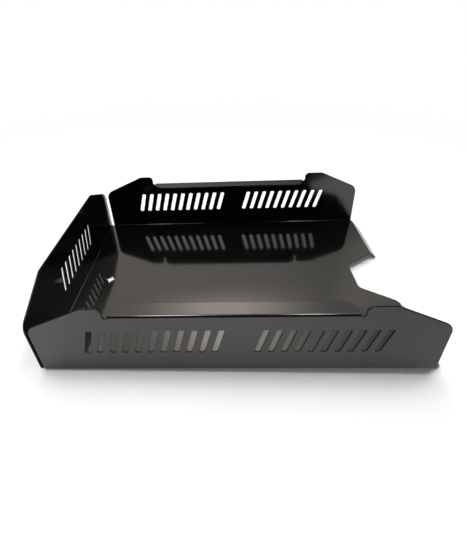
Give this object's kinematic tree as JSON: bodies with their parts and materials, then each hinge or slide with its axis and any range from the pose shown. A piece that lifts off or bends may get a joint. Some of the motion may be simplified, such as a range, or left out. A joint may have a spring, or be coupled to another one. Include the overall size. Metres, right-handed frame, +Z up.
{
  "type": "document tray",
  "caption": "Open desk tray for papers, folded from gloss black sheet steel, with slotted walls, inward grip flanges between raised ears and a finger notch in the front of the floor.",
  "frame": {"origin": "on the desk, at the centre of the tray's bounding box", "axes": "+X runs from the back wall to the open front, +Y from the left wall to the right wall, +Z is up from the desk"},
  "size_m": [0.3328, 0.2394, 0.0746],
  "materials": {
    "black_paint": "gloss"
  },
  "bodies": {
    "root": {"floor_panel": "black_paint", "left_front_tongue": "black_paint", "right_front_tongue": "black_paint", "back_wall": "black_paint", "left_side_wall": "black_paint", "right_side_wall": "black_paint", "left_grip_flange": "black_paint", "right_grip_flange": "black_paint", "left_front_lip": "black_paint", "right_front_lip": "black_paint"}
  },
  "joints": []
}
